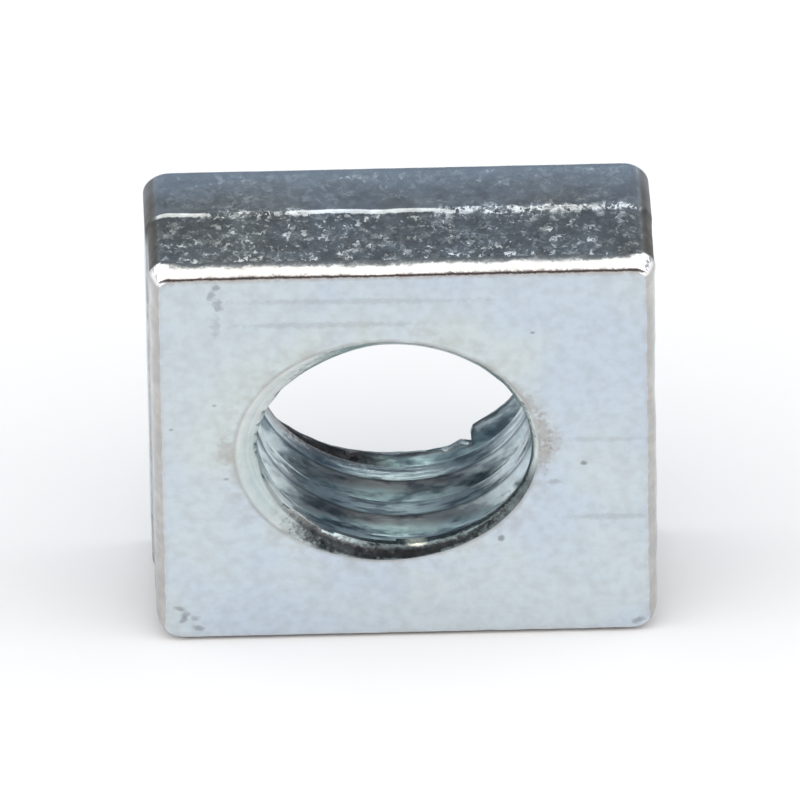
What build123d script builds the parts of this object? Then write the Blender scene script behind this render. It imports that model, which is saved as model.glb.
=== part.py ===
from build123d import *
from math import hypot, radians, tan
import os

# Thin square nut, M8 thread, standing upright on one of its flat sides.
# Millimetres. +Z is up, the bore runs along Y and the front face looks towards -Y.
# The origin is at the middle of the side that the nut stands on.
# Angles round the bore are read like a clock's, from the top as seen from the front.

# Blank, cut from strip: a square outline with rounded corners
across_flats = 12.8
thickness = 3.7
corner_radius = 0.5
front_edge_radius = 0.25
back_edge_radius = 0.08

# Right-hand coarse thread, and the angle at which its crest comes out at the front face
thread_major_diameter = 8.0
thread_pitch = 1.25
thread_flank_angle = 30.0
root_flat_width = 0.156
crest_flat_width = 0.43
crest_start_angle = 97.0

# The hole sits a little off the middle of the blank
bore_offset_x = -0.23
bore_offset_z = 0.05

# Countersink at the front, not quite on the thread's axis
countersink_width = 0.375
countersink_half_angle = 50.0
countersink_offset_x = -0.19
countersink_offset_z = 0.04

# How far the cutting shapes run past the metal
cut_margin = 0.1

# Where the faces and the bore's axis lie
front_y = -thickness / 2
middle_z = across_flats / 2
bore_x = bore_offset_x
bore_z = middle_z + bore_offset_z

# Groove section: a narrow root flat, and flanks that open towards the bore as far
# as the crest flat leaves room for in one pitch
flank_slope = tan(radians(thread_flank_angle))
root_half_width = root_flat_width / 2
flank_width = (thread_pitch - crest_flat_width - root_flat_width) / 2
groove_depth = flank_width / flank_slope
mouth_half_width = root_half_width + (groove_depth + cut_margin) * flank_slope

# The crests are what the groove leaves of the tapping hole's wall
major_radius = thread_major_diameter / 2
minor_radius = major_radius - groove_depth

# The helix starts at 12 o'clock, over a turn ahead of the front face, as far as
# puts the crest, which is half a turn from the groove, at its angle on that face
lead_turns = 1 + (crest_start_angle + 180) / 360
helix_lead = lead_turns * thread_pitch
helix_start = (bore_x, front_y - helix_lead, bore_z)
helix_height = helix_lead + thickness + thread_pitch

# Countersink: a cone from its rim down to where it has left the crest all round
countersink_radius = minor_radius + countersink_width
countersink_x = bore_x + countersink_offset_x
countersink_z = bore_z + countersink_offset_z
countersink_run = countersink_width + hypot(countersink_offset_x, countersink_offset_z)
countersink_depth = countersink_run / tan(radians(countersink_half_angle))

os.makedirs("parts", exist_ok=True)

with BuildPart() as square_nut:
    # Blank, with a soft edge round its front and a smaller one at its back
    with BuildSketch(Plane.XZ.offset(-front_y)):
        with Locations((0, middle_z)):
            RectangleRounded(across_flats, across_flats, corner_radius)
    extrude(amount=-thickness)
    faces_by_depth = square_nut.faces().sort_by(Axis.Y)
    front_face = faces_by_depth[0]
    back_face = faces_by_depth[-1]
    fillet(front_face.edges(), front_edge_radius)
    fillet(back_face.edges(), back_edge_radius)

    # Thread groove, swept along its helix
    with BuildLine() as thread_path:
        Helix(
            thread_pitch,
            helix_height,
            minor_radius,
            center=helix_start,
            direction=(0, 1, 0),
        )
    groove_plane = Plane(
        origin=thread_path.line @ 0,
        x_dir=(0, 0, 1),
        z_dir=thread_path.line % 0,
    )
    with BuildSketch(groove_plane):
        with BuildLine():
            Polyline(
                (-cut_margin, -mouth_half_width),
                (groove_depth, -root_half_width),
                (groove_depth, root_half_width),
                (-cut_margin, mouth_half_width),
                close=True,
            )
        make_face()
    sweep(path=thread_path.line, is_frenet=True, clean=False, mode=Mode.SUBTRACT)

    # Tapping hole, which leaves the crests between the turns of the groove
    with BuildSketch(Plane.XZ.offset(cut_margin - front_y)):
        with Locations((bore_x, bore_z)):
            Circle(minor_radius)
    extrude(amount=-(thickness + 2 * cut_margin), clean=False, mode=Mode.SUBTRACT)

    # Countersink
    with BuildSketch(Plane.XZ.offset(-front_y)):
        with Locations((countersink_x, countersink_z)):
            Circle(countersink_radius)
    extrude(
        amount=-countersink_depth,
        taper=countersink_half_angle,
        clean=False,
        mode=Mode.SUBTRACT,
    )

square_nut.part.label = "square_nut"
export_step(square_nut.part, "parts/square_nut.step")
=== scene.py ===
import math

import bpy
from mathutils import Matrix, Vector, noise


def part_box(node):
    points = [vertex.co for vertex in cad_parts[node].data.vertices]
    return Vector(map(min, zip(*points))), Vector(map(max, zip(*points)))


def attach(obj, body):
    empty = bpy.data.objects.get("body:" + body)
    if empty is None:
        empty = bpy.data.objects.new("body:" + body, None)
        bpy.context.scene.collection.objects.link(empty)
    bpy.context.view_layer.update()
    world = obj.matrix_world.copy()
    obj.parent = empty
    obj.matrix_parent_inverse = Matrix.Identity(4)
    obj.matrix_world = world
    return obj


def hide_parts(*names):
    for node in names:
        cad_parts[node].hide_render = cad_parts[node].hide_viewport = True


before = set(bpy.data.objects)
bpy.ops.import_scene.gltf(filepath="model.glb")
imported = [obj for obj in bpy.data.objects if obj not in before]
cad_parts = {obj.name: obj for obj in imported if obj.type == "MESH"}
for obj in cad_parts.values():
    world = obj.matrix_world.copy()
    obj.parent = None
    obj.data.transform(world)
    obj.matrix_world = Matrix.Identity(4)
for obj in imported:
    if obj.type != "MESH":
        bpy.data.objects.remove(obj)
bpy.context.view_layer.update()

# Camera
# A long lens, above the front of the nut and a touch to its left, at the photograph's angle.
# The picture is turned a little against the nut.
camera_azimuth = math.radians(-0.5)
camera_elevation = math.radians(44.08)
camera_roll = math.radians(-0.913)
camera_distance = 0.815
camera_aim = Vector((-0.000056, 0, 0.006472))

camera_back = Vector(
    (
        math.sin(camera_azimuth) * math.cos(camera_elevation),
        -math.cos(camera_azimuth) * math.cos(camera_elevation),
        math.sin(camera_elevation),
    )
)
camera_data = bpy.data.cameras.new("camera")
camera_data.lens = 1464
camera_data.clip_start = 0.1
camera_data.clip_end = 10
camera = bpy.data.objects.new("camera", camera_data)
camera.location = camera_aim + camera_back * camera_distance
camera.rotation_mode = "QUATERNION"
camera.rotation_quaternion = (-camera_back).to_track_quat("-Z", "Y") @ Matrix.Rotation(
    camera_roll, 4, "Z"
).to_quaternion()
bpy.context.scene.collection.objects.link(camera)
bpy.context.scene.camera = camera

# Square nut
# One piece of mild steel, sheared from strip, pierced, countersunk at the front, tapped M8
# and zinc-plated. It is built as rings of points, in millimetres, that run from the bore's
# front rim over the outside to its back rim, and its thread as rows that follow the helix.
mm = 0.001
columns = 480
nut_low, nut_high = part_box("square_nut")
half_width = (nut_high.x - nut_low.x) / 2 / mm
half_thickness = (nut_high.y - nut_low.y) / 2 / mm
middle_z = (nut_high.z + nut_low.z) / 2 / mm
corner_radius = 0.5
back_round = 0.08

bore_x = -0.23
bore_z = middle_z + 0.05
pitch = 1.25
root_radius = 4.0
crest_radius = 3.425
crest_flat = 0.43
root_flat = 0.156
crest_start = 97.0
crest_lean = 0.07
crest_lip = 0.06
crest_round = 0.04
groove_round = 0.05
countersink_width = 0.375
countersink_x = -0.19
countersink_z = 0.04
countersink_slope = math.tan(math.radians(50))

# The countersink is worn: only this share of its depth follows its width where it is wide, it
# is flatter by this share at the upper left, and its section is curved by this power
depth_by_width = 0.35
upper_left_flatness = 0.38
sink_curve = 1.25

# Past the countersink the thread deepens at this slope up to its full depth
run_in_slope = 1.5

# The front edge is a tight corner, a wider curve and then the long roll that the shear leaves:
# where each ends, in degrees from facing the front, and its radius
front_stages = [(14, 0.05), (42, 0.26), (90, 0.51)]

# At the top corners the long roll turns into a plain bevel, over this distance from the corner
bevel_reach = 0.8
bevel_width = 1.25

# Radius that the outline's corners are worn to, and how much it grows to the back and below
worn_radius = 0.55
worn_at_back = 0.15
worn_below = 0.25

# The sheared left and right sides lean, from this distance off the middle
lean_start = 4.2
left_lean = 0.077
right_lean = 0.131

# Where the smooth band of the shear cut ends, in depth from the middle
shear_y = 0.35
shear_waver = 0.05

# The torn steel is lower than the smooth band by a step, which is less and wider where it is
# crumbled, and each has its own roughness
side_inset = 0.02
torn_step = 0.052
step_waver = 0.014
crumbled_less = 0.014
step_width = 0.095
crumbled_front = 0.11
crumbled_back = 0.05
coarse_waves = 0.01
torn_grain = 0.006
smooth_grain = 0.002
crumb_grain = 0.007
crumb_width = 0.14

# The thread's thin end at the back is burred inwards and then broken off: clock angle and
# radius of the edge that is left
back_edge = [
    (108, 3.44),
    (127, 3.41),
    (137, 3.345),
    (143, 3.335),
    (146, 3.47),
    (148.5, 3.78),
    (152, 3.60),
    (158, 3.67),
    (169, 3.62),
    (178, 3.56),
    (206, 3.63),
    (232, 3.71),
    (240, 3.66),
    (254, 3.90),
]
broken_depth = 0.24
broken_by = 0.03
broken_ragged = 0.02
edge_softness = 0.07


def clock_point(turn):
    """Unit vector at a share of a turn, clockwise from 12 as seen from the front."""
    angle = 2 * math.pi * turn
    return math.sin(angle), math.cos(angle)


def ease(low, high, value):
    """Smooth step from 0 at low to 1 at high."""
    share = min(max((value - low) / (high - low), 0.0), 1.0)
    return share * share * (3 - 2 * share)


def round_off(before, corner, after, radius, steps):
    """Points that replace a corner of the thread's section with a small arc."""
    start = (before - corner).normalized()
    end = (after - corner).normalized()
    opening = start.angle(end)
    reach = radius / math.tan(opening / 2)
    middle = corner + (start + end).normalized() * radius / math.sin(opening / 2)
    first = (corner + start * reach - middle).normalized()
    last = (corner + end * reach - middle).normalized()
    return [middle + first.slerp(last, step / steps) * radius for step in range(steps + 1)]


def thread_section():
    """One pitch of the section, as distance along the axis from the crest and radius."""
    before = Vector((-pitch / 2, root_radius))
    after = Vector((pitch / 2, root_radius))
    root_in = Vector((-(pitch - root_flat) / 2, root_radius))
    crest_in = Vector((-crest_flat / 2, crest_radius + crest_lean))
    crest_out = Vector((crest_flat / 2, crest_radius))
    root_out = Vector(((pitch - root_flat) / 2, root_radius))
    lip_in = [
        crest_in.lerp(root_in, crest_lip / (root_in - crest_in).length),
        crest_in,
        crest_in.lerp(crest_out, crest_lip / crest_flat),
    ]
    arcs = [
        [before],
        round_off(before, root_in, crest_in, groove_round, 2),
        lip_in,
        round_off(crest_in, crest_out, root_out, crest_round, 3),
        round_off(crest_out, root_out, after, groove_round, 2),
    ]
    between = [0, 4, 5, 3]
    points = []
    for arc, count, following in zip(arcs, between, arcs[1:]):
        points += arc
        for step in range(count):
            points.append(arc[-1].lerp(following[0], (step + 1) / (count + 1)))
    return points + arcs[-1], crest_in


section, lip_point = thread_section()
section_steps = len(section)


def thread_radius(turn, y):
    """Radius of the tapped surface at a clock angle and a depth."""
    ahead = (y + half_thickness) / pitch - (turn - crest_start / 360)
    along = (ahead - round(ahead)) * pitch
    for near, far in zip(section, section[1:] + [Vector((pitch / 2, root_radius))]):
        if near.x <= along <= far.x:
            share = (along - near.x) / max(far.x - near.x, 1e-9)
            return near.y + (far.y - near.y) * share
    return root_radius


def countersink_radius(turn, y):
    """Distance from the thread's axis to the countersink, whose own axis is off to the left, and
    the depth at which it runs out into the crests. It is flatter at its rim than there, and
    flattest at the upper left."""
    rim = crest_radius + countersink_width
    sine, cosine = clock_point(turn)
    across = countersink_x * sine + countersink_z * cosine
    width = across + math.sqrt(rim**2 - countersink_x**2 - countersink_z**2 + across**2)
    width -= crest_radius
    evened = depth_by_width * width + (1 - depth_by_width) * countersink_width
    full_depth = min(width, evened) / countersink_slope
    upper_left = ease(-0.15, 0.45, cosine) * ease(0.05, 0.6, -sine)
    full_depth *= 1 - upper_left_flatness * upper_left
    left = 1 - (y + half_thickness) / full_depth
    if left > 0:
        left = left**sink_curve
    return crest_radius + width * left, full_depth


def broken_end(turn, y, radius):
    """The bore's radius near its back rim, where the end of the thread has broken off."""
    degrees = turn * 360
    for (before, low), (after, high) in zip(back_edge, back_edge[1:]):
        if before <= degrees < after:
            left = low + (high - low) * (degrees - before) / (after - before)
            left += broken_ragged * noise.noise(Vector((turn * 90, y * 4, 0)))
            near = ease(half_thickness - broken_depth, half_thickness - broken_by, y)
            near *= ease(back_edge[0][0], back_edge[1][0], degrees)
            near *= 1 - ease(back_edge[-2][0], back_edge[-1][0], degrees)
            return radius + (left - radius) * near
    return radius


def sink_edge(turn, y, tapped):
    """The bore's radius where the tapped surface meets the countersink, with a soft edge. The
    thread starts shallow, so that it doesn't break through the countersink's rim."""
    sink, full_depth = countersink_radius(turn, y)
    past = max(y + half_thickness - full_depth, 0.0)
    tapped = min(tapped, max(sink, crest_radius) + run_in_slope * past)
    close = max(edge_softness - abs(tapped - sink), 0.0) / edge_softness
    return max(tapped, sink) + close**2 * edge_softness / 4, tapped - sink


def bore_radius(turn, y):
    """The bore's radius with its thread, its countersink and its broken end."""
    return sink_edge(turn, y, broken_end(turn, y, thread_radius(turn, y)))[0]


def outline_point(turn):
    """Point and outward direction on the rounded square, at a share of its length from 12."""
    straight = 2 * (half_width - corner_radius)
    arc = math.pi / 2 * corner_radius
    side = straight + arc
    along = (turn * 4 * side + straight / 2) % (4 * side)
    quarter = int(along // side)
    along -= quarter * side
    if along < straight:
        point = Vector((along - straight / 2, half_width))
        normal = Vector((0, 1))
    else:
        angle = (along - straight) / corner_radius
        normal = Vector((math.sin(angle), math.cos(angle)))
        point = Vector((straight / 2, straight / 2)) + normal * corner_radius
    for _ in range(quarter):
        point = Vector((point.y, -point.x))
        normal = Vector((normal.y, -normal.x))
    return point, normal


def lean(x, y):
    """The sheared left and right sides aren't quite square to the faces."""
    near_side = min(max((abs(x) - lean_start) / (half_width - lean_start), 0), 1)
    if x < 0:
        return x + left_lean * near_side * (half_thickness - y) / 2 / half_thickness
    return x - right_lean * near_side * (half_thickness + y) / 2 / half_thickness


def further_round(edge, y):
    """Vector by which the outline's corners are worn further, more at the back and the bottom."""
    radius = worn_radius + worn_at_back * (y + half_thickness) / 2 / half_thickness
    radius += worn_below * (edge.y < 0)
    straight = half_width - radius
    over = Vector((max(abs(edge.x) - straight, 0), max(abs(edge.y) - straight, 0)))
    if min(over) <= 0:
        return Vector((0, 0))
    worn = over.normalized() * max(over.length - radius, 0)
    return Vector((math.copysign(worn.x, edge.x), math.copysign(worn.y, edge.y)))


def shear_line(edge):
    """Depth at which the smooth band of the shear cut ends, wavering along the side."""
    return shear_y + shear_waver * noise.noise(Vector((edge.x * 0.9, edge.y * 0.9, 3)))


# On the top side, the stretches where the smooth band ends in a clean line
clean_runs = [(-6.6, -4.9), (-2.3, 1.0)]
run_fade = 0.15


def crumble(edge):
    """How broken up the line between the smooth and the torn steel is, from 0 to 1."""
    if edge.y < half_width - corner_radius:
        return ease(-0.15, 0.1, noise.noise(Vector((edge.x, 5, edge.y)) * 0.5))
    clean = 0.0
    for start, end in clean_runs:
        begun = ease(start - run_fade, start + run_fade, edge.x)
        clean += begun * ease(-end - run_fade, run_fade - end, -edge.x)
    return 1 - clean


def side_relief(edge, y):
    """How far the sheared side lies inside the flat: a torn zone, lower than the smooth one."""
    line = shear_line(edge)
    broken = crumble(edge)
    torn = 1 - ease(line - step_width - crumbled_front * broken, line + crumbled_back * broken, y)
    place = Vector((edge.x, y, edge.y))
    coarse = noise.fractal(place * 1.3, 1.0, 2.0, 2)
    fine = noise.fractal(Vector((place.x * 4, place.y * 7, place.z * 4)), 1.0, 2.0, 3)
    step = torn_step + step_waver * noise.noise(Vector((edge.x * 0.8, 11, edge.y * 0.8)))
    step -= crumbled_less * broken
    crumbs = broken * math.exp(-(((y - line) / crumb_width) ** 2))
    relief = side_inset + coarse_waves * coarse + torn * (step + torn_grain * fine)
    return relief + (smooth_grain + crumb_grain * crumbs) * fine


def edge_size(edge):
    """The rolled front edge is uneven along its length, and smaller along the bottom."""
    place = Vector((edge.x, 7, edge.y))
    size = 1 + 0.09 * noise.noise(place * 1.7) + 0.07 * noise.noise(place * 6)
    return size * (1 - 0.5 * ease(half_width - 0.9, half_width - 0.1, -edge.y))


def top_corner(edge):
    """1 at the two top corners of the outline, easing to 0 where their bevels end."""
    middle = half_width - 0.3 * corner_radius
    return 1 - ease(0.0, bevel_reach, math.hypot(abs(edge.x) - middle, edge.y - middle))


def roll_depth(edge):
    """The roll reaches further back at the top corners."""
    return edge_size(edge) * (1 + 0.1 * top_corner(edge))


def front_roll(degrees, bevel=0.0):
    """Inset and depth of the front edge where it faces an angle from the front. The bevel is
    how far the roll has turned into one, from 0 to 1."""
    inset = depth = 0.0
    start = 0
    for end, radius in front_stages:
        low, high = math.radians(start), math.radians(end)
        here = min(max(math.radians(degrees), low), high)
        inset += radius * (math.sin(high) - math.sin(here))
        depth += radius * (math.cos(low) - math.cos(here))
        start = end
    if bevel:
        bend = front_stages[1][0]
        bend_inset, bend_depth = front_roll(bend)
        along = max(degrees - bend, 0) / (90 - bend)
        inset += bevel * (bevel_width * bend_inset * (1 - along) - min(inset, bend_inset))
        if degrees > bend:
            depth += bevel * (bend_depth + (front_depth - bend_depth) * along - depth)
    return inset, depth


_, front_depth = front_roll(90)


def corner_share(edge, normal):
    """1 on the rounded corners of the outline, easing to 0 on the flats beside them."""
    straight = half_width - corner_radius
    top = 1.0 if edge.y > 0 else 0.5
    if abs(normal.x) > 0.999:
        return top * ease(straight - 0.7, straight, abs(edge.y))
    return top * ease(math.sin(math.radians(26)), math.sin(math.radians(36)), abs(normal.x))


# Small nicks in the front face: place, width and depth
nicks = [
    (-5.78, 0.95, 0.13, 0.035),
    (-5.62, 0.62, 0.16, 0.045),
    (-5.35, 0.42, 0.14, 0.04),
    (-5.12, 0.30, 0.10, 0.03),
    (-4.78, 12.2, 0.20, 0.012),
    (-4.60, 11.95, 0.16, 0.012),
]


def nick_depth(x, z):
    """How deep the nicks go at a place on the front face."""
    deep = 0.0
    for nick_x, nick_z, width, depth in nicks:
        apart = ((x - nick_x) ** 2 + (z - nick_z) ** 2) / width**2
        if apart < 6:
            deep += depth * math.exp(-apart)
    return deep


# The marks say how much of a kind each point is. On the outside they are the torn steel, its
# crumbly line, the corners, which get a painted dark reflection, the rim of the face, which
# gets a painted dark reflection, and the painted highlights at the top corners. In the bore they
# are the painted shade at the crest's lip and along the rims, the root, the feathered burr, oily
# metal and clean places with a painted sheen, with the place round the bore. The flow runs
# along the helix, for the tap's streaks.
points = []
flow = []
outer_marks = ["torn", "crumbs", "corner", "rim", "painted_corner_highlight"]
bore_marks = ["lip", "root", "feather", "around", "oily", "clean"]
marks = {name: [] for name in outer_marks + bore_marks}


def add_point(x, y, z, along=(0.0, 0.0, 0.0), **kinds):
    """Keeps a point, its flow and its marks, and gives its number."""
    points.append(Vector((lean(x, y), y, z)) * mm)
    flow.extend(along)
    for name, values in marks.items():
        values.append(kinds.get(name, 0.0))
    return len(points) - 1


def rim_dark_reflection(normal, most, less):
    """Painted dark reflection along the rim of the face: most along the top, less at the sides
    and the bottom.
    """
    return most - less * abs(normal.x) - less * max(-normal.y, 0)


rings = []

# Front face, from the countersink's rim to the start of the rounded edge
face_rings = 24
face_spacing = 1.15
for ring in range(face_rings):
    share = (ring / (face_rings - 1)) ** face_spacing
    row = []
    for column in range(columns):
        turn = column / columns
        sine, cosine = clock_point(turn)
        hole = bore_radius(turn, -half_thickness)
        inner = Vector((bore_x + hole * sine, bore_z + hole * cosine))
        edge, normal = outline_point(turn)
        edge_inset = front_roll(0, top_corner(edge))[0] * edge_size(edge)
        outer = edge - normal * edge_inset - further_round(edge, -half_thickness)
        place = inner.lerp(outer + Vector((0, middle_z)), share)
        y = nick_depth(place.x, place.y) - half_thickness
        # The outer ring carries the painted dark reflection along the rim.
        rim = rim_dark_reflection(normal, 0.7, 0.5) if ring == face_rings - 1 else 0.0
        row.append(add_point(place.x, y, place.y, rim=rim))
    rings.append(row)

# Rounded front edge, by the angle that it faces from the front
front_angles = [6, 12, 18, 24, 30, 36, 41, 46, 51, 57, 63, 69, 76, 83, 90]
for degrees in front_angles:
    angle = math.radians(degrees)
    row = []
    for column in range(columns):
        edge, normal = outline_point(column / columns)
        bevel = top_corner(edge)
        inset_here, depth_here = front_roll(degrees, bevel)
        y = depth_here * roll_depth(edge) - half_thickness
        relief = side_relief(edge, y) * math.sin(angle) ** 2 * (1 - 0.7 * bevel)
        inset = inset_here * edge_size(edge) + relief
        place = edge - normal * inset - further_round(edge, y) + Vector((0, middle_z))
        y += nick_depth(place.x, place.y) * math.cos(angle)
        corner = corner_share(edge, normal) * ease(72, 90, degrees)
        torn = math.sin(angle) ** 4
        # A painted dark reflection along the tight corner, and a painted highlight at the top
        # corners
        rim = (1 - ease(20, 50, degrees)) * rim_dark_reflection(normal, 1, 0.6)
        painted_corner_highlight = ease(0.05, 0.3, abs(normal.x)) * (1 - ease(0.9, 0.98, abs(normal.x)))
        painted_corner_highlight *= (edge.y > 0) * (1 - ease(76, 88, degrees))
        kinds = {"torn": torn, "crumbs": torn, "corner": corner, "rim": rim, "painted_corner_highlight": painted_corner_highlight}
        row.append(add_point(place.x, y, place.y, **kinds))
    rings.append(row)

# Sheared side, with its rows of points closest together round the shear line
side_front = front_depth - half_thickness
side_back = half_thickness - back_round
torn_rows, torn_spacing = 18, 0.082
line_rows, line_spacing = 16, 0.028
back_rows = 11
side_rows = [side_front + torn_spacing * step for step in range(1, torn_rows + 1)]
side_rows += [side_rows[-1] + line_spacing * step for step in range(1, line_rows + 1)]
side_rows += [
    side_rows[-1] + (side_back - side_rows[-1]) * step / back_rows
    for step in range(1, back_rows + 1)
]
for y in side_rows:
    row = []
    for column in range(columns):
        edge, normal = outline_point(column / columns)
        still_front = (side_back - y) / (side_back - side_front)
        front_shift = front_depth * (roll_depth(edge) - 1) * still_front
        line = shear_line(edge)
        place = edge - normal * side_relief(edge, y + front_shift) + Vector((0, middle_z))
        place -= further_round(edge, y + front_shift)
        torn = 1 - ease(line - 0.06, line, y)
        ridge = math.exp(-(((y - line + 0.03) / 0.13) ** 2))
        crumbs = (2 * crumble(edge) - 1) * ridge
        crumbs = max(crumbs, math.exp(-(((y - side_front - 0.02) / 0.12) ** 2)), key=abs)
        kinds = {"torn": torn, "crumbs": crumbs, "corner": corner_share(edge, normal)}
        row.append(add_point(place.x, y + front_shift, place.y, **kinds))
    rings.append(row)

# Small rounding at the back
back_steps = 3
for step in range(1, back_steps + 1):
    angle = math.pi / 2 * step / back_steps
    y = half_thickness - back_round * (1 - math.sin(angle))
    row = []
    for column in range(columns):
        edge, normal = outline_point(column / columns)
        inset = back_round * (1 - math.cos(angle)) + side_relief(edge, y) * math.cos(angle)
        place = edge - normal * inset - further_round(edge, y)
        corner = corner_share(edge, normal) * math.cos(angle)
        row.append(add_point(place.x, y, place.y + middle_z, corner=corner))
    rings.append(row)

# Back face
back_rings = 12
for ring in range(1, back_rings + 1):
    share = ring / back_rings
    row = []
    for column in range(columns):
        turn = column / columns
        sine, cosine = clock_point(turn)
        hole = bore_radius(turn, half_thickness)
        inner = Vector((bore_x + hole * sine, bore_z + hole * cosine))
        edge, normal = outline_point(turn)
        outer = edge - normal * back_round - further_round(edge, half_thickness)
        place = (outer + Vector((0, middle_z))).lerp(inner, share)
        row.append(add_point(place.x, half_thickness, place.y))
    rings.append(row)

# Oily places in the bore, and clean places with a painted sheen: clock angle, spread in degrees
# and strength
oily_places = [(211, 15, 1.0), (150, 13, 0.8)]
sheen_places = [(180, 15, 1.0), (262, 16, 0.5)]


def nearness(degrees, places):
    """How near a clock angle is to a list of places."""
    return sum(
        strength * math.exp(-(((degrees - middle) / spread) ** 2))
        for middle, spread, strength in places
    )


def feathered(turn, y):
    """How feathered the broken end is, over the last half millimetre from 6 to 8 o'clock."""
    late = ease(half_thickness - 0.95, half_thickness - 0.5, y)
    late *= ease(170 / 360, 200 / 360, turn) * (1 - ease(242 / 360, 262 / 360, turn))
    return late


# Thread: its points follow the helix, so that each edge of a crest is a clean line. They leave
# a small gap to the rims of the faces. The tap's streaks lie in a field with one circle for
# the section and a larger one for the bore.
first_turn = -1
thread_turns = 5
rim_gap = 0.012
section_circle = 1.5
bore_circle = 4.3
streak_depth = 0.016
bore_rows = []
sunk_rows = []
for column in range(columns):
    turn = column / columns
    sine, cosine = clock_point(turn)
    front_rim = rings[0][column]
    back_rim = rings[-1][column]
    row = []
    sunk = []
    for step in range(thread_turns * section_steps):
        lap, place = divmod(step, section_steps)
        across = section[place]
        along = across.x + (turn - crest_start / 360 + first_turn + lap) * pitch
        if along <= rim_gap:
            row.append(front_rim)
            sunk.append(True)
            continue
        if along >= 2 * half_thickness - rim_gap:
            row.append(back_rim)
            sunk.append(False)
            continue
        y = along - half_thickness
        phase = 2 * math.pi * across.x / pitch
        stream_x = section_circle * math.cos(phase)
        stream_y = section_circle * math.sin(phase)
        streak = noise.noise(Vector((stream_x, stream_y, 3 * sine + 2 * cosine + y)))
        radius = broken_end(turn, y, across.y + streak_depth * streak)
        radius, above_sink = sink_edge(turn, y, radius)

        # Painted shade: dark lines where a crest meets the countersink, though not at the bottom,
        # and at the back rim. The first, shallow metal of the thread has the countersink's
        # finish.
        meeting = 1 - ease(0.0, 0.07, abs(above_sink))
        meeting *= 1 - ease(0.08, 0.13, across.y - crest_radius)
        meeting *= 0.6 - 0.6 * ease(0.5, 0.8, -cosine)
        back_rim_shade = 0.8 * ease(half_thickness - 0.13, half_thickness - 0.05, y)
        sunk.append(above_sink < 0.0 or (along < 0.45 and above_sink < 0.12))
        # Painted shade also darkens each crest's front edge, through the lip mark.
        row.append(
            add_point(
                bore_x + radius * sine,
                y,
                bore_z + radius * cosine,
                along=(stream_x, stream_y, bore_circle * sine),
                lip=max(0.8 if across == lip_point else 0.0, meeting, back_rim_shade),
                root=ease(crest_radius + 0.18, crest_radius + 0.42, across.y),
                feather=feathered(turn, y),
                oily=nearness(turn * 360, oily_places),
                clean=nearness(turn * 360, sheen_places),
                around=bore_circle * cosine + 2 * y,
            )
        )
    bore_rows.append(row)
    sunk_rows.append(sunk)

faces = []
finishes = []
face_finish, edge_finish, side_finish, sink_finish, thread_finish = range(5)


def add_face(finish, *corners):
    """Keeps a face, without the corners that fall together, unless nothing of it is left."""
    distinct = [c for c, after in zip(corners, corners[1:] + corners[:1]) if c != after]
    if len(distinct) > 2:
        faces.append(distinct)
        finishes.append(finish)


first_edge = face_rings - 1
first_side = first_edge + len(front_angles)
first_back = first_side + len(side_rows)
for ring, (inner, outer) in enumerate(zip(rings, rings[1:])):
    finish = face_finish
    if first_edge <= ring < first_side:
        finish = edge_finish
    elif first_side <= ring < first_back:
        finish = side_finish
    for column in range(columns):
        after = (column + 1) % columns
        add_face(finish, inner[column], inner[after], outer[after], outer[column])
for column in range(columns):
    after = (column + 1) % columns
    shift = 0 if after else section_steps
    here = bore_rows[column]
    there = bore_rows[after][shift:] + [rings[-1][after]] * shift
    for step in range(len(here) - 1):
        finish = sink_finish if sunk_rows[column][step] else thread_finish
        add_face(finish, here[step + 1], there[step + 1], there[step], here[step])

nut_mesh = bpy.data.meshes.new("square_nut")
nut_mesh.from_pydata(points, [], faces)
for name, values in marks.items():
    nut_mesh.attributes.new(name, "FLOAT", "POINT").data.foreach_set("value", values)
nut_mesh.attributes.new("flow", "FLOAT_VECTOR", "POINT").data.foreach_set("vector", flow)
nut_mesh.polygons.foreach_set("material_index", finishes)
nut_mesh.shade_smooth()
nut_mesh.set_sharp_from_angle(angle=math.radians(38))
nut = bpy.data.objects.new("nut_body", nut_mesh)
bpy.context.scene.collection.objects.link(nut)


def add_node(tree, kind, feeds=(), **settings):
    """A shader node; feeds give a socket's name or number and its value or the socket before."""
    made = tree.nodes.new(kind)
    for name, value in settings.items():
        setattr(made, name, value)
    for socket, feed in dict(feeds).items():
        if isinstance(feed, bpy.types.NodeSocket):
            tree.links.new(feed, made.inputs[socket])
        else:
            made.inputs[socket].default_value = feed
    return made


def maths(tree, operation, *feeds):
    """The result of a sum on numbers or sockets."""
    return add_node(tree, "ShaderNodeMath", enumerate(feeds), operation=operation).outputs[0]


def remap(tree, value, low, high, start=0.0, end=1.0):
    """A value stretched from low and high to start and end, and held between them."""
    feeds = {"Value": value, "From Min": low, "From Max": high, "To Min": start, "To Max": end}
    return add_node(tree, "ShaderNodeMapRange", feeds, clamp=True).outputs[0]


def blend(tree, share, first, second, kind="MIX"):
    """The first colour with a share of the second one laid over it or multiplied in."""
    feeds = {0: share, 6: first, 7: second}
    return add_node(tree, "ShaderNodeMix", feeds, data_type="RGBA", blend_type=kind).outputs[2]


def stained_by(tree, mask, strength, metal, colour, kind="MIX"):
    """The metal with a colour over it where a mask says, no stronger than given."""
    return blend(tree, maths(tree, "MULTIPLY", mask, strength), metal, colour, kind)


def grain(tree, place, scale, detail=2.0, stretch=(1, 1, 1)):
    """Soft random values, from a noise that can be squeezed along each axis."""
    feeds = {0: place, 1: stretch}
    pulled = add_node(tree, "ShaderNodeVectorMath", feeds, operation="MULTIPLY").outputs[0]
    feeds = {"Vector": pulled, "Scale": scale, "Detail": detail}
    return add_node(tree, "ShaderNodeTexNoise", feeds).outputs["Fac"]


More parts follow.
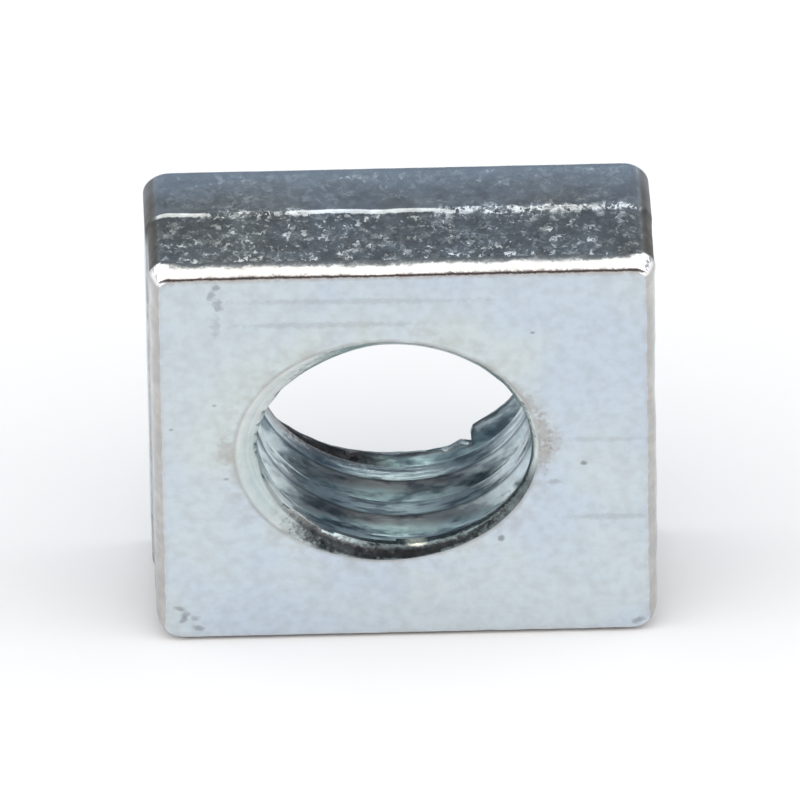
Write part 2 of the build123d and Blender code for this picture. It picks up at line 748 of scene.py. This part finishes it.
def start_group(name, inputs, outputs):
    """A new group of shader nodes, the sockets it is given and the node for its results."""
    tree = bpy.data.node_groups.new(name, "ShaderNodeTree")
    for label, kind in inputs:
        tree.interface.new_socket(label, in_out="INPUT", socket_type=kind)
    for label, kind in outputs:
        tree.interface.new_socket(label, in_out="OUTPUT", socket_type=kind)
    return tree, tree.nodes.new("NodeGroupInput").outputs, tree.nodes.new("NodeGroupOutput")


# Passivated zinc: soft patches of a second tone over the metal's own, and fine mottling
tint, given, result = start_group(
    "zinc_tint",
    [
        ("Place", "NodeSocketVector"),
        ("Metal", "NodeSocketColor"),
        ("Veil", "NodeSocketColor"),
        ("Patches", "NodeSocketFloat"),
        ("Mottle", "NodeSocketFloat"),
    ],
    [("Color", "NodeSocketColor")],
)
patches = remap(tint, grain(tint, given["Place"], 0.33, 3.0), 0.40, 0.60)
patches = maths(tint, "MINIMUM", maths(tint, "MULTIPLY", patches, given["Patches"]), 1.0)
colour = blend(tint, patches, given["Metal"], given["Veil"])
mottle = remap(tint, grain(tint, given["Place"], 3.6, 4.0), 0.38, 0.68)
mottle = maths(tint, "MULTIPLY", mottle, given["Mottle"])
colour = blend(tint, mottle, colour, (0.80, 0.79, 0.775, 1), "MULTIPLY")
tint.links.new(colour, result.inputs["Color"])

# Crystals: small facets of the plating, each tilted its own way
crystals, given, result = start_group(
    "zinc_crystals",
    [
        ("Place", "NodeSocketVector"),
        ("Size", "NodeSocketFloat"),
        ("Tilt", "NodeSocketFloat"),
    ],
    [("Normal", "NodeSocketVector")],
)
leaning = add_node(crystals, "ShaderNodeNewGeometry").outputs["Normal"]
feeds = {"Vector": given["Place"], "Scale": maths(crystals, "DIVIDE", 1.6, given["Size"])}
ragged = add_node(crystals, "ShaderNodeTexNoise", feeds).outputs["Color"]
feeds = {0: ragged, "Scale": maths(crystals, "MULTIPLY", given["Size"], 1.5)}
ragged = add_node(crystals, "ShaderNodeVectorMath", feeds, operation="SCALE").outputs[0]
feeds = {0: given["Place"], 1: ragged}
ragged = add_node(crystals, "ShaderNodeVectorMath", feeds, operation="ADD").outputs[0]
for finer, share in ((1.0, 1.3), (2.2, 2.0)):
    scale = maths(crystals, "DIVIDE", finer, given["Size"])
    cells = add_node(crystals, "ShaderNodeTexVoronoi", {"Vector": ragged, "Scale": scale})
    feeds = {0: cells.outputs["Color"], 1: (0.5, 0.5, 0.5)}
    tilts = add_node(crystals, "ShaderNodeVectorMath", feeds, operation="SUBTRACT").outputs[0]
    feeds = {0: tilts, "Scale": maths(crystals, "MULTIPLY", given["Tilt"], share)}
    tilts = add_node(crystals, "ShaderNodeVectorMath", feeds, operation="SCALE").outputs[0]
    feeds = {0: leaning, 1: tilts}
    leaning = add_node(crystals, "ShaderNodeVectorMath", feeds, operation="ADD").outputs[0]
feeds = {0: leaning}
leaning = add_node(crystals, "ShaderNodeVectorMath", feeds, operation="NORMALIZE").outputs[0]
crystals.links.new(leaning, result.inputs["Normal"])

# One mark at a set place, with a ragged outline: At is its middle, Size its half length and
# half width in millimetres, Turn how far it leans clockwise in radians
placed, given, result = start_group(
    "placed_mark",
    [
        ("Place", "NodeSocketVector"),
        ("At", "NodeSocketVector"),
        ("Size", "NodeSocketVector"),
        ("Turn", "NodeSocketVector"),
        ("Ragged", "NodeSocketFloat"),
    ],
    [("Mask", "NodeSocketFloat")],
)
feeds = {"Vector": given["Place"], "Location": given["At"]}
feeds.update({"Rotation": given["Turn"], "Scale": given["Size"]})
inside = add_node(placed, "ShaderNodeMapping", feeds, vector_type="TEXTURE").outputs[0]
away = add_node(placed, "ShaderNodeVectorMath", {0: inside}, operation="LENGTH").outputs[1]
rough = maths(placed, "SUBTRACT", grain(placed, given["Place"], 8.0, 4.0), 0.5)
away = maths(placed, "ADD", away, maths(placed, "MULTIPLY", rough, given["Ragged"]))
placed.links.new(remap(placed, away, 0.5, 1.2, 1.0, 0.0), result.inputs["Mask"])


def start_finish(name, roughness):
    """A new metal for the nut, its shader and the place on the nut in millimetres."""
    material = bpy.data.materials.new(name)
    material.use_nodes = True
    shader = material.node_tree.nodes["Principled BSDF"]
    shader.inputs["Metallic"].default_value = 1.0
    shader.inputs["Roughness"].default_value = roughness
    nut_mesh.materials.append(material)
    tree = material.node_tree
    coordinates = add_node(tree, "ShaderNodeTexCoord").outputs["Object"]
    feeds = {0: coordinates, "Scale": 1 / mm}
    place = add_node(tree, "ShaderNodeVectorMath", feeds, operation="SCALE").outputs[0]
    return tree, shader, place


def place_group(tree, group, **feeds):
    """The result of a group of shader nodes for the given feeds."""
    return add_node(tree, "ShaderNodeGroup", feeds, node_tree=group).outputs[0]


def finish_with(tree, shader, colour, facets, height, depth):
    """Feeds the shader its colour, its facets and a bump of the given depth in millimetres."""
    tree.links.new(colour, shader.inputs["Base Color"])
    feeds = {"Height": height, "Distance": depth * mm, "Strength": 1.0, "Normal": facets}
    bump = add_node(tree, "ShaderNodeBump", feeds).outputs[0]
    tree.links.new(bump, shader.inputs["Normal"])


def mark(tree, name, output="Fac"):
    """One of the marks that the mesh's points carry."""
    return add_node(tree, "ShaderNodeAttribute", attribute_name=name).outputs[output]


def hole_distance(tree, place):
    """Distance from the countersink's axis, in millimetres."""
    parts = add_node(tree, "ShaderNodeSeparateXYZ", {0: place}).outputs
    across = maths(tree, "SUBTRACT", parts["X"], bore_x + countersink_x)
    above = maths(tree, "SUBTRACT", parts["Z"], bore_z + countersink_z)
    squared = maths(tree, "MULTIPLY_ADD", across, across, maths(tree, "POWER", above, 2.0))
    return maths(tree, "SQRT", squared)


# Faces: pale matt plating, greyer towards the hole, with a thin brown line round the hole, a
# painted dark reflection along the edges, a few dark pits, brown stains beside the hole and
# faint scratches along the strip
tree, shader, place = start_finish("zinc_face", 0.36)
from_hole = hole_distance(tree, place)
near_hole = remap(tree, from_hole, 3.9, 5.4, 1.1, 0.55)
feeds = {"Metal": (0.580, 0.655, 0.735, 1), "Veil": (0.635, 0.70, 0.70, 1), "Mottle": 0.5}
metal = place_group(tree, tint, Place=place, Patches=near_hole, **feeds)
stain = remap(tree, grain(tree, place, 1.8, 5.0), 0.42, 0.66)
stain = maths(tree, "MULTIPLY", stain, remap(tree, from_hole, 3.75, 4.5, 1.0, 0.0))
metal = stained_by(tree, stain, 0.45, metal, (0.42, 0.40, 0.37, 1))
broken = remap(tree, grain(tree, place, 2.0, 3.0), 0.3, 0.6, 0.3)
hole_line = maths(tree, "MULTIPLY", remap(tree, from_hole, 3.80, 3.91, 1.0, 0.0), broken)
metal = stained_by(tree, hole_line, 0.75, metal, (0.33, 0.31, 0.29, 1))
# Painted dark reflection: a brown line along the rim of the face
painted_rim_line = remap(tree, grain(tree, place, 6.0, 5.0), 0.36, 0.60, 0.2)
painted_rim_line = maths(tree, "MULTIPLY", mark(tree, "rim"), painted_rim_line)
metal = blend(tree, painted_rim_line, metal, (0.40, 0.35, 0.31, 1))

# Marks on the face: the middle's x and z, half length and half width, lean, raggedness and
# strength. The first ones are grey, the second ones brown.
grey_marks = [
    ((-5.70, 1.12), (0.17, 0.09), 0.3, 1.3, 0.55),
    ((-5.55, 0.90), (0.11, 0.14), 0.5, 1.5, 0.5),
    ((-5.60, 0.70), (0.10, 0.15), 0.5, 1.5, 0.5),
    ((-5.32, 0.78), (0.14, 0.09), 0.1, 1.5, 0.4),
    ((-5.22, 0.42), (0.17, 0.11), 0.4, 1.4, 0.55),
    ((5.84, 0.40), (0.19, 0.10), -0.5, 1.2, 0.6),
    ((4.50, 5.93), (0.10, 0.08), 0.0, 0.8, 0.75),
    ((3.26, 10.50), (0.07, 0.05), 0.0, 0.8, 0.6),
    ((2.41, 3.36), (0.09, 0.11), 0.3, 0.8, 0.7),
    ((-4.71, 8.20), (0.07, 0.05), 0.0, 0.8, 0.5),
    ((-5.80, 7.40), (0.06, 0.05), 0.0, 0.8, 0.5),
    ((-4.45, 5.64), (0.08, 0.05), 0.0, 0.8, 0.5),
    ((-4.62, 12.28), (0.13, 0.11), -0.6, 1.5, 0.55),
    ((-4.74, 12.02), (0.11, 0.16), 0.3, 1.7, 0.5),
    ((-4.58, 11.66), (0.12, 0.22), -0.2, 1.9, 0.4),
    ((-4.64, 10.95), (0.12, 0.45), 0.0, 2.2, 0.25),
    ((3.75, 5.30), (0.18, 0.10), 0.0, 1.5, 0.3),
    ((-1.3, 11.72), (3.4, 0.11), 0.015, 1.9, 0.18),
    ((-1.9, 10.92), (2.7, 0.11), 0.01, 1.9, 0.19),
    ((5.2, 4.05), (1.1, 0.12), 0.01, 1.4, 0.22),
    ((4.9, 6.75), (1.3, 0.10), 0.01, 1.6, 0.14),
]
brown_marks = [
    ((3.18, 8.05), (0.15, 0.50), -0.45, 2.6, 0.35),
    ((3.50, 7.10), (0.17, 0.60), -0.15, 2.6, 0.45),
    ((3.52, 6.20), (0.15, 0.50), 0.1, 2.6, 0.45),
    ((3.80, 6.75), (0.18, 0.40), 0.0, 2.8, 0.3),
    ((-4.45, 6.60), (0.22, 0.45), 0.0, 2.2, 0.3),
]
grey, brown = (0.20, 0.21, 0.22, 1), (0.30, 0.25, 0.22, 1)
for placed_marks, darker in ((grey_marks, grey), (brown_marks, brown)):
    for (mark_x, mark_z), (length, width), turn, ragged, strength in placed_marks:
        at = (mark_x, -half_thickness, mark_z)
        feeds = {"Place": place, "At": at, "Size": (length, 1.0, width), "Turn": (0, turn, 0)}
        shape = place_group(tree, placed, Ragged=ragged, **feeds)
        metal = stained_by(tree, shape, strength, metal, darker)
scratches = grain(tree, place, 1.0, 3.0, (0.25, 1, 9))
lines = remap(tree, scratches, 0.60, 0.72)
metal = stained_by(tree, lines, 0.16, metal, (0.48, 0.53, 0.53, 1))
facets = place_group(tree, crystals, Place=place, Size=0.22, Tilt=0.012)
height = maths(tree, "MULTIPLY_ADD", scratches, 0.6, grain(tree, place, 7.0, 3.0))
finish_with(tree, shader, metal, facets, height, 0.003)

# Rolled front edge: smoother than the faces, with a painted dark reflection along its tight
# corner, darker mottling on its upright parts and a painted highlight at the top corners
tree, shader, place = start_finish("zinc_rolled_edge", 0.20)
feeds = {"Metal": (0.58, 0.585, 0.57, 1), "Veil": (0.62, 0.605, 0.59, 1), "Mottle": 1.0}
metal = place_group(tree, tint, Place=place, Patches=0.8, **feeds)
# Painted dark reflection: a brown line along the tight corner
painted_rim_line = remap(tree, grain(tree, place, 2.5, 3.0), 0.3, 0.6, 0.3)
painted_rim_line = maths(tree, "MULTIPLY", mark(tree, "rim"), painted_rim_line)
metal = stained_by(tree, painted_rim_line, 0.7, metal, (0.42, 0.36, 0.33, 1))
parts = add_node(tree, "ShaderNodeSeparateXYZ", {0: place}).outputs
# Darker grey mottling on the upright parts of the edge
upright = remap(tree, maths(tree, "ABSOLUTE", parts["X"]), 5.9, 6.1)
upright_darkening = remap(tree, grain(tree, place, 1.6, 5.0), 0.42, 0.60, 0.1, 0.6)
metal = stained_by(tree, upright_darkening, upright, metal, (0.42, 0.43, 0.42, 1))
# Painted highlight at the top corners
metal = blend(tree, mark(tree, "painted_corner_highlight"), metal, (1.0, 0.99, 0.99, 1))
facets = place_group(tree, crystals, Place=place, Size=0.16, Tilt=0.04)
finish_with(tree, shader, metal, facets, grain(tree, place, 5.0, 3.0), 0.008)

# Sheared sides: a smooth band at the back, torn crystalline steel at the front, and corners
# darkened grey-brown as a painted dark reflection
tree, shader, place = start_finish("zinc_sheared_side", 0.29)
feeds = {"Metal": (0.60, 0.66, 0.72, 1), "Veil": (0.64, 0.66, 0.66, 1), "Mottle": 1.0}
metal = place_group(tree, tint, Place=place, Patches=0.8, **feeds)
torn = mark(tree, "torn")
crumbs = mark(tree, "crumbs")
clouds = remap(tree, grain(tree, place, 1.6, 5.0, (1, 1.5, 1)), 0.35, 0.62)
metal = blend(tree, clouds, metal, (0.74, 0.73, 0.72, 1), "MULTIPLY")
parts = add_node(tree, "ShaderNodeSeparateXYZ", {0: place}).outputs
bluer = remap(tree, parts["Y"], 0.7, 1.7, 0.0, 0.7)
metal = blend(tree, bluer, metal, (0.78, 0.88, 1.0, 1))
metal = stained_by(tree, torn, 0.8, metal, (0.72, 0.72, 0.70, 1), "MULTIPLY")
# Painted dark reflection: the corners are darkened grey-brown
corner = mark(tree, "corner")
metal = blend(tree, corner, metal, (0.33, 0.31, 0.295, 1), "MULTIPLY")
matt = maths(tree, "MULTIPLY_ADD", corner, 0.26, 0.29)
tree.links.new(matt, shader.inputs["Roughness"])
tilt = maths(tree, "MULTIPLY_ADD", torn, 0.10, 0.08)
tilt = maths(tree, "MAXIMUM", maths(tree, "MULTIPLY_ADD", crumbs, 0.10, tilt), 0.03)
tilt = maths(tree, "MULTIPLY", tilt, maths(tree, "MULTIPLY_ADD", corner, -0.8, 1.0))
facets = place_group(tree, crystals, Place=place, Size=0.23, Tilt=tilt)
smooth = maths(tree, "MULTIPLY", grain(tree, place, 2.2, 4.0, (0.7, 1.5, 1)), 1.3)
rough = grain(tree, place, 6.0, 4.0)
height = add_node(tree, "ShaderNodeMix", {0: torn, 2: smooth, 3: rough}).outputs[0]
finish_with(tree, shader, metal, facets, height, 0.012)

# Countersink: bands left by the tool, darker towards the bottom from soil and a painted dark
# reflection, paler crusts on it, and one painted glint
tree, shader, place = start_finish("zinc_countersink", 0.26)
feeds = {"Metal": (0.57, 0.65, 0.66, 1), "Veil": (0.66, 0.70, 0.69, 1), "Mottle": 0.5}
metal = place_group(tree, tint, Place=place, Patches=1.0, **feeds)
parts = add_node(tree, "ShaderNodeSeparateXYZ", {0: place}).outputs
from_hole = hole_distance(tree, place)
feeds = {"W": from_hole, "Scale": 6.0, "Detail": 2.0}
ringed = add_node(tree, "ShaderNodeTexNoise", feeds, noise_dimensions="1D").outputs["Fac"]
ringed = remap(tree, ringed, 0.45, 0.6)
metal = stained_by(tree, ringed, 0.6, metal, (0.80, 0.86, 0.86, 1), "MULTIPLY")
outer = remap(tree, from_hole, 3.75, 3.80)
metal = stained_by(tree, outer, 0.5, metal, (0.36, 0.35, 0.34, 1))
slanted = maths(tree, "MULTIPLY_ADD", parts["X"], -0.2, parts["Z"])
to_right = maths(tree, "MAXIMUM", parts["X"], 0.0)
slanted = maths(tree, "MULTIPLY_ADD", to_right, -0.25, slanted)
# Darker towards the bottom: soil and a painted dark reflection
bottom = remap(tree, slanted, bore_z - 1.9, bore_z - 2.55)
blotches = remap(tree, grain(tree, place, 2.0, 5.0), 0.40, 0.58)
lighter = remap(tree, parts["X"], bore_x - 0.6, bore_x - 1.9)
soil_and_dark_reflection = maths(tree, "MAXIMUM", blotches, maths(tree, "MULTIPLY_ADD", lighter, -0.85, 0.92))
soil_and_dark_reflection = maths(tree, "MULTIPLY", soil_and_dark_reflection, bottom)
crusts = remap(tree, grain(tree, place, 2.6, 4.0), 0.42, 0.64)
crusts = maths(tree, "MULTIPLY", crusts, maths(tree, "MULTIPLY_ADD", lighter, 0.6, 0.4))
shallow = maths(tree, "MAXIMUM", remap(tree, from_hole, 3.52, 3.62, 0.25), lighter)
crusts = maths(tree, "MULTIPLY", crusts, shallow)
crust_colour = blend(tree, crusts, (0.065, 0.08, 0.085, 1), (0.30, 0.37, 0.37, 1))
metal = blend(tree, soil_and_dark_reflection, metal, crust_colour)
# Painted shade along the crests' lips and the rims
metal = stained_by(tree, mark(tree, "lip"), 0.7, metal, (0.16, 0.17, 0.17, 1))
# A painted glint
glint = {"Place": place, "At": (0.25, -1.52, 3.06), "Size": (0.30, 0.3, 0.09), "Ragged": 0.3}
glint = place_group(tree, placed, **glint)
metal = stained_by(tree, glint, 0.8, metal, (1.0, 0.96, 0.82, 1))
tilt = maths(tree, "MULTIPLY_ADD", soil_and_dark_reflection, 0.04, 0.03)
facets = place_group(tree, crystals, Place=place, Size=0.2, Tilt=tilt)
finish_with(tree, shader, metal, facets, grain(tree, place, 6.0, 4.0), 0.010)

# Thread: a painted sheen in its roots and at the clean places, painted shade at the lip of each
# crest, oily places, and streaks along the helix left by the tap
tree, shader, place = start_finish("zinc_thread", 0.29)
stream = {"Vector": mark(tree, "flow", "Vector"), "W": mark(tree, "around"), "Detail": 3.0}
stream["Scale"] = 1.0
streaks = add_node(tree, "ShaderNodeTexNoise", stream, noise_dimensions="4D").outputs["Fac"]
feeds = {"Metal": (0.56, 0.66, 0.71, 1), "Veil": (0.60, 0.68, 0.69, 1), "Mottle": 0.8}
metal = place_group(tree, tint, Place=place, Patches=0.8, **feeds)
# Painted sheen in the roots
painted_root_sheen = maths(tree, "MULTIPLY", mark(tree, "root"), remap(tree, streaks, 0.40, 0.56))
metal = blend(tree, painted_root_sheen, metal, (0.88, 1.0, 1.0, 1))
dark = remap(tree, streaks, 0.52, 0.40)
metal = stained_by(tree, dark, 0.7, metal, (0.17, 0.22, 0.26, 1))
oily = maths(tree, "MULTIPLY", mark(tree, "oily"), remap(tree, streaks, 0.30, 0.60, 1.0, 0.5))
metal = blend(tree, oily, metal, (0.42, 0.49, 0.54, 1), "MULTIPLY")
# Painted sheen at the clean places
clean = maths(tree, "MULTIPLY", mark(tree, "clean"), remap(tree, streaks, 0.40, 0.56, 0.0, 0.8))
metal = blend(tree, clean, metal, (0.84, 1.0, 0.97, 1))
feather = maths(tree, "MULTIPLY", mark(tree, "feather"), 0.85)
metal = blend(tree, feather, metal, (0.22, 0.20, 0.20, 1))
# Painted shade along the crests' lips and the rims
metal = stained_by(tree, mark(tree, "lip"), 0.9, metal, (0.06, 0.08, 0.10, 1))
tilt = maths(tree, "MULTIPLY_ADD", feather, 0.15, 0.03)
facets = place_group(tree, crystals, Place=place, Size=0.2, Tilt=tilt)
finish_with(tree, shader, metal, facets, streaks, 0.025)

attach(nut, "root")
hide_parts("square_nut")

# Floor
# A plain matt white table top that runs up into a low white wall all round, far away, so
# that the background is the same from every side.
floor_mesh = bpy.data.meshes.new("floor")
floor_sides = 96
floor_rings = [(0.05, 0.0), (0.5, 0.0), (2.6, 0.0), (2.9, 0.04), (3.0, 0.16), (3.0, 0.3)]
floor_points = [(0, 0, 0)]
floor_faces = []
for radius, height in floor_rings:
    for side in range(floor_sides):
        sine, cosine = clock_point(side / floor_sides)
        floor_points.append((radius * sine, radius * cosine, height))
for side in range(floor_sides):
    after = (side + 1) % floor_sides
    floor_faces.append((0, 1 + after, 1 + side))
    for ring in range(len(floor_rings) - 1):
        inner, outer = 1 + ring * floor_sides, 1 + (ring + 1) * floor_sides
        floor_faces.append((inner + side, inner + after, outer + after, outer + side))
floor_mesh.from_pydata(floor_points, [], floor_faces)
floor_mesh.shade_smooth()
floor = bpy.data.objects.new("floor", floor_mesh)
bpy.context.scene.collection.objects.link(floor)
paper = bpy.data.materials.new("white_paper")
paper.use_nodes = True
paper_shader = paper.node_tree.nodes["Principled BSDF"]
paper_shader.inputs["Base Color"].default_value = (0.93, 0.93, 0.93, 1)
paper_shader.inputs["Roughness"].default_value = 1.0
paper_shader.inputs["Specular IOR Level"].default_value = 0.0
floor_mesh.materials.append(paper)

# Light
# A soft studio sky: bright from overhead down towards the front, dark low in front and dark
# blue-grey behind.
world = bpy.data.worlds.new("studio")
world.use_nodes = True
bpy.context.scene.world = world
sky = world.node_tree
background = sky.nodes["Background"]
direction = add_node(sky, "ShaderNodeTexCoord").outputs["Generated"]
parts = add_node(sky, "ShaderNodeSeparateXYZ", {0: direction}).outputs
forward = maths(sky, "MULTIPLY", parts["Y"], -1.0)
arch = maths(sky, "ARCTAN2", parts["Z"], forward)
ramp = add_node(sky, "ShaderNodeValToRGB", {0: maths(sky, "DIVIDE", arch, math.pi)})

# Colours along the arch from the horizon in front, over the top, to the horizon behind
stops = [
    (0.0, (0.115, 0.115, 0.125)),
    (0.15, (0.115, 0.11, 0.118)),
    (0.225, (0.24, 0.145, 0.16)),
    (0.275, (0.8, 0.78, 0.78)),
    (0.31, (2.15, 2.15, 2.15)),
    (0.55, (2.15, 2.15, 2.15)),
    (0.62, (0.50, 0.55, 0.60)),
    (0.70, (0.20, 0.235, 0.27)),
    (0.88, (0.22, 0.25, 0.29)),
    (1.0, (0.20, 0.19, 0.19)),
]
ramp.color_ramp.elements[0].position = stops[0][0]
ramp.color_ramp.elements[0].color = (*stops[0][1], 1)
ramp.color_ramp.elements[1].position = stops[-1][0]
ramp.color_ramp.elements[1].color = (*stops[-1][1], 1)
for place, colour in stops[1:-1]:
    stop = ramp.color_ramp.elements.new(place)
    stop.color = (*colour, 1)
sky.links.new(ramp.outputs[0], background.inputs["Color"])
background.inputs["Strength"].default_value = 1.0

bpy.context.scene.view_settings.view_transform = "Standard"
